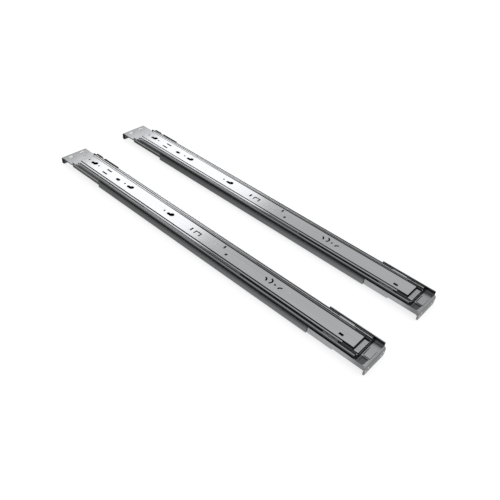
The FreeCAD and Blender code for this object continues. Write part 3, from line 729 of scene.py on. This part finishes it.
# ---- operators ----
class RAILS_OT_sheet_members(bpy.types.Operator):
    """Rounded sheet-metal members and brackets of both rails"""

    bl_idname = "rails.sheet_members"
    bl_label = "Sheet members"

    def execute(self, context):
        sizes = context.scene.rail_sizes
        for rail in RAILS:
            for kind in SHEET_PIECES:
                cutters = self.cutters(rail, kind, sizes.dimple_radius)
                finished_copy(f"{rail}_{kind}", sizes.sheet_edge, cutters)
        return {"FINISHED"}

    def cutters(self, rail, kind, radius):
        """Dimples for the chassis web and reliefs for the front ends of both outer walls."""
        if kind == "inner_member":
            return [self.dimple(FRONT + behind * MM, centre_of(rail) + beside * MM,
                                depth * MM, radius)
                    for behind, beside, depth in WEB_DIMPLES]
        if kind == "outer_member":
            return self.reliefs(*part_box(f"{rail}_outer_member"))
        return []

    def dimple(self, x, y, depth, radius):
        """A ball that bites into the web's face."""
        deselect_all()
        bpy.ops.mesh.primitive_uv_sphere_add(
            segments=24, ring_count=12, radius=radius, location=(x, y, WEB_TOP + radius - depth))
        return settle(bpy.context.view_layer.objects.active)

    def reliefs(self, low, high):
        """One block for the front of the far wall and two steps for that of the near wall."""
        far_length, far_depth, far_sill = 9.6 * MM, 8 * MM, 1.5 * MM
        near_depth = 4 * MM
        near_steps = ((10 * MM, 3.0 * MM), (17 * MM, 5.2 * MM))
        start = low[0] - CUTTER_EXCESS
        top = high[2] + CUTTER_EXCESS
        blocks = [cutting_block((start, high[1] - far_depth, low[2] + far_sill),
                                (low[0] + far_length, high[1] + CUTTER_EXCESS, top))]
        for length, sill in near_steps:
            blocks.append(cutting_block((start, low[1] - CUTTER_EXCESS, low[2] + sill),
                                        (low[0] + length, low[1] + near_depth, top)))
        return blocks


class RAILS_OT_small_parts(bpy.types.Operator):
    """Plastic guides and blocks, cages, springs, studs, nuts and latches with broken edges"""

    bl_idname = "rails.small_parts"
    bl_label = "Small parts"

    def execute(self, context):
        for rail in RAILS:
            for kind, edge in SMALL_EDGES.items():
                node = f"{rail}_{kind}"
                cutters = [self.guide_cutter(node)] if kind == "front_guides" else []
                finished_copy(node, edge * MM, cutters)
        return {"FINISHED"}

    def guide_cutter(self, node):
        """A block that shortens the near guide at its front."""
        length, width = 26 * MM, 9 * MM
        low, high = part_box(node)
        return cutting_block([place - CUTTER_EXCESS for place in low],
                             (low[0] + length, low[1] + width, high[2] + CUTTER_EXCESS))


class RAILS_OT_spring_leaves(bpy.types.Operator):
    """Flat leaves of the retaining springs, wavy on the near side of each rail"""

    bl_idname = "rails.spring_leaves"
    bl_label = "Spring leaves"

    def execute(self, context):
        for rail in RAILS:
            for side, name in ((-1, "near"), (1, "far")):
                add_to(self.leaf(rail, side, context.scene.rail_sizes),
                       f"{rail}_retaining_springs", f"{rail}_{name}_spring_leaf",
                       f"{name}_leaf")
        return {"FINISHED"}

    def leaf(self, rail, side, sizes):
        """A strip over the gap beside the chassis member, in waves where it is the near one."""
        lift = 0.3 * MM
        offset = 17.1 * MM
        half_waves = 5
        low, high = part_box(f"{rail}_retaining_springs")
        length = high[0] - low[0]
        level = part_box(f"{rail}_middle_member")[1][2] + lift
        deselect_all()
        bpy.ops.mesh.primitive_grid_add(x_subdivisions=40, y_subdivisions=4, size=1.0)
        leaf = bpy.context.view_layer.objects.active
        leaf.scale = (length, sizes.leaf_width, 1.0)
        leaf.location = ((low[0] + high[0]) / 2, centre_of(rail) + side * offset, level)
        settle(leaf)
        if side < 0:
            for vert in leaf.data.vertices:
                way = (vert.co.x - low[0]) / length
                vert.co.y += sizes.leaf_swing * math.sin(way * half_waves * math.pi)
        sheet = leaf.modifiers.new("Strip thickness", "SOLIDIFY")
        sheet.thickness = sizes.leaf_thickness
        sheet.offset = 1.0
        soften(leaf, 0.06 * MM)
        shade_smooth(leaf, 40)
        return leaf


class RAILS_OT_plate_details(bpy.types.Operator):
    """Pressed ovals on the front plates and the bent tabs below the rear plates' slots"""

    bl_idname = "rails.plate_details"
    bl_label = "Plate details"

    def execute(self, context):
        height = context.scene.rail_sizes.emboss_height
        for rail in RAILS:
            plate = f"{rail}_front_bracket"
            for number, (behind, beside) in enumerate(PLATE_EMBOSSES, start=1):
                place = (FRONT + behind * MM, centre_of(rail) + beside * MM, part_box(plate)[1][2])
                add_to(self.oval(place, height), plate, f"{rail}_plate_emboss_{number}",
                       "front_bracket")
            add_to(self.tab(rail), f"{rail}_rear_bracket", f"{rail}_lanced_tab",
                   "slot_tab")
        return {"FINISHED"}

    def oval(self, place, height):
        """A low pressed dome, closed just below the face that it grows out of."""
        half_length, half_width = 2.6 * MM, 1.7 * MM
        cut_level = -0.2
        deselect_all()
        bpy.ops.mesh.primitive_uv_sphere_add(segments=28, ring_count=14, radius=1.0)
        dome = bpy.context.view_layer.objects.active
        bpy.ops.object.mode_set(mode="EDIT")
        bpy.ops.mesh.select_all(action="SELECT")
        bpy.ops.mesh.bisect(plane_co=(0, 0, cut_level), plane_no=(0, 0, 1),
                            clear_inner=True, use_fill=True)
        bpy.ops.object.mode_set(mode="OBJECT")
        dome.scale = (half_length, half_width, height)
        dome.location = place
        settle(dome)
        shade_smooth(dome, 50)
        return dome

    def tab(self, rail):
        """A tongue of sheet bent down along the front edge of the slot."""
        from_rear = 13.75 * MM
        beside = 0.5 * MM
        below_wings = 6.4 * MM
        below_plate = 2.6 * MM
        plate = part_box(f"{rail}_rear_bracket")[1][2] - below_wings
        deselect_all()
        bpy.ops.mesh.primitive_cube_add(size=1.0)
        tab = bpy.context.view_layer.objects.active
        tab.scale = (0.9 * MM, 14.4 * MM, 4.6 * MM)
        tab.location = (REAR - from_rear, centre_of(rail) + beside, plate - below_plate)
        settle(tab)
        soften(tab, 0.25 * MM, segments=3)
        shade_smooth(tab, 40)
        return tab


class RAILS_OT_balls(bpy.types.Operator):
    """Smooth steel balls in the windows of the four cages"""

    bl_idname = "rails.balls"
    bl_label = "Balls"

    def execute(self, context):
        for rail in RAILS:
            for stage in ("inner_balls", "outer_balls"):
                node = f"{rail}_{stage}"
                ball = self.one_ball(context.scene.rail_sizes.ball_radius)
                group = self.joined([self.copy_to(ball, place) for place in self.centres(node)])
                bpy.data.objects.remove(ball)
                group.name = f"{node}_round"
                stand_for(group, node)
        return {"FINISHED"}

    def one_ball(self, radius):
        """A round ball at the origin."""
        deselect_all()
        bpy.ops.mesh.primitive_ico_sphere_add(subdivisions=3, radius=radius)
        bpy.ops.object.shade_smooth()
        return bpy.context.view_layer.objects.active

    def copy_to(self, ball, place):
        """A ball with its own mesh at another place."""
        copy = ball.copy()
        copy.data = ball.data.copy()
        copy.location = place
        bpy.context.scene.collection.objects.link(copy)
        return copy

    def joined(self, balls):
        """All balls of a cage as one piece."""
        deselect_all()
        for ball in balls:
            ball.select_set(True)
        bpy.context.view_layer.objects.active = balls[0]
        bpy.ops.object.join()
        return settle(bpy.context.view_layer.objects.active)

    def centres(self, node):
        """Centres of the loose solids of a ball node."""
        mesh = bmesh.new()
        mesh.from_mesh(NODES[node].data)
        bmesh.ops.remove_doubles(mesh, verts=mesh.verts, dist=0.01 * MM)
        seen = set()
        found = []
        for start in mesh.verts:
            if start in seen:
                continue
            seen.add(start)
            island = [start]
            for vert in island:
                near = [edge.other_vert(vert) for edge in vert.link_edges]
                fresh = [other for other in near if other not in seen]
                seen.update(fresh)
                island.extend(fresh)
            found.append(sum((vert.co for vert in island), Vector()) / len(island))
        mesh.free()
        return found


class RAILS_OT_stage(bpy.types.Operator):
    """Pale floor, soft studio light and the camera"""

    bl_idname = "rails.stage"
    bl_label = "Stage"

    def execute(self, context):
        stage = context.scene.rail_stage
        self.floor(stage)
        self.room(stage)
        self.softbox("Top_softbox", place=(0.0, 0.0, 2.2), size=(3.0, 3.0), power=stage.top_power)
        self.softbox("Rear_softbox", place=(-1.26, 0.93, 1.0), size=(0.8, 1.2),
                     power=stage.web_power)
        self.camera(stage)
        context.scene.view_settings.view_transform = "Standard"
        return {"FINISHED"}

    def floor(self, stage):
        """A wide floor just under the rails."""
        deselect_all()
        bpy.ops.mesh.primitive_plane_add(size=12.0, location=(0, 0, -0.2 * MM))
        plane = bpy.context.view_layer.objects.active
        plane.name = "Floor"
        settle(plane)
        plane.data.materials.append(self.floor_paint(stage))

    def floor_paint(self, stage):
        """Matt and pale, so that it keeps the shadow, and white to the camera and mirrors."""
        recipe = Recipe("Studio floor", "ShaderNodeAddShader")
        matte = recipe.add("ShaderNodeBsdfDiffuse")
        matte.inputs["Color"].default_value = (*[stage.floor_shade] * 3, 1.0)
        glow = recipe.add("ShaderNodeEmission")
        rays = recipe.add("ShaderNodeLightPath").outputs
        seen = recipe.count("MAXIMUM", rays["Is Camera Ray"], rays["Is Glossy Ray"])
        seen = recipe.count("MAXIMUM", seen, rays["Is Transmission Ray"])
        level = recipe.count("MULTIPLY", seen, stage.floor_glow)
        recipe.link(level, glow.inputs["Strength"])
        recipe.link(matte.outputs["BSDF"], recipe.shader.inputs[0])
        recipe.link(glow.outputs["Emission"], recipe.shader.inputs[1])
        return recipe.material

    def room(self, stage):
        """An even, pale room."""
        world = bpy.data.worlds.new("Studio")
        world.use_nodes = True
        background = world.node_tree.nodes["Background"]
        background.inputs["Color"].default_value = (1, 1, 1, 1)
        background.inputs["Strength"].default_value = stage.room_level
        bpy.context.scene.world = world

    def softbox(self, name, place, size, power):
        """A level rectangular softbox that faces down."""
        lamp = bpy.data.lights.new(name, "AREA")
        lamp.shape = "RECTANGLE"
        lamp.size, lamp.size_y = size
        lamp.energy = power
        holder = bpy.data.objects.new(name, lamp)
        holder.location = place
        bpy.context.scene.collection.objects.link(holder)

    def camera(self, stage):
        """A camera beyond the rear ears, on the near side, that looks down over both rails."""
        place = (0.4282, -0.4794, 0.5057)
        view = Vector((-0.4753, 0.5948, -0.6484)).normalized()
        upward = Vector((-0.4823, 0.4402, 0.7574))
        right = view.cross(upward).normalized()
        turn = Matrix((right, right.cross(view), -view)).transposed()
        data = bpy.data.cameras.new("Camera")
        data.lens = stage.lens
        data.sensor_width = 36.0
        data.clip_start = 0.01
        holder = bpy.data.objects.new("Camera", data)
        holder.matrix_world = Matrix.Translation(place) @ turn.to_4x4()
        bpy.context.scene.collection.objects.link(holder)
        bpy.context.scene.camera = holder


GROUPS = {"rail_looks": RailLooks, "rail_sizes": RailSizes, "rail_stage": RailStage}
STEPS = (
    RAILS_OT_sheet_members,
    RAILS_OT_small_parts,
    RAILS_OT_spring_leaves,
    RAILS_OT_plate_details,
    RAILS_OT_balls,
    RAILS_OT_stage,
)


class RAILS_PT_panel(bpy.types.Panel):
    """Steps that dress the rails"""

    bl_idname = "RAILS_PT_panel"
    bl_label = "Server rails"
    bl_space_type = "VIEW_3D"
    bl_region_type = "UI"
    bl_category = "Server Rails"

    def draw(self, context):
        """List the settings and the steps."""
        column = self.layout.column()
        for name, group in GROUPS.items():
            for setting in group.__annotations__:
                column.prop(getattr(context.scene, name), setting)
        for step in STEPS:
            column.operator(step.bl_idname)


CLASSES = (*GROUPS.values(), *STEPS, RAILS_PT_panel)


def register():
    """Make the classes known and give each scene its settings."""
    for cls in CLASSES:
        bpy.utils.register_class(cls)
    for name, group in GROUPS.items():
        setattr(bpy.types.Scene, name, bpy.props.PointerProperty(type=group))


def unregister():
    """Take the settings and the classes away again."""
    for name in GROUPS:
        delattr(bpy.types.Scene, name)
    for cls in reversed(CLASSES):
        bpy.utils.unregister_class(cls)


def main():
    """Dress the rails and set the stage."""
    register()
    bpy.ops.rails.sheet_members()
    bpy.ops.rails.small_parts()
    bpy.ops.rails.spring_leaves()
    bpy.ops.rails.plate_details()
    bpy.ops.rails.balls()
    bpy.ops.rails.stage()


if __name__ == "__main__":
    main()
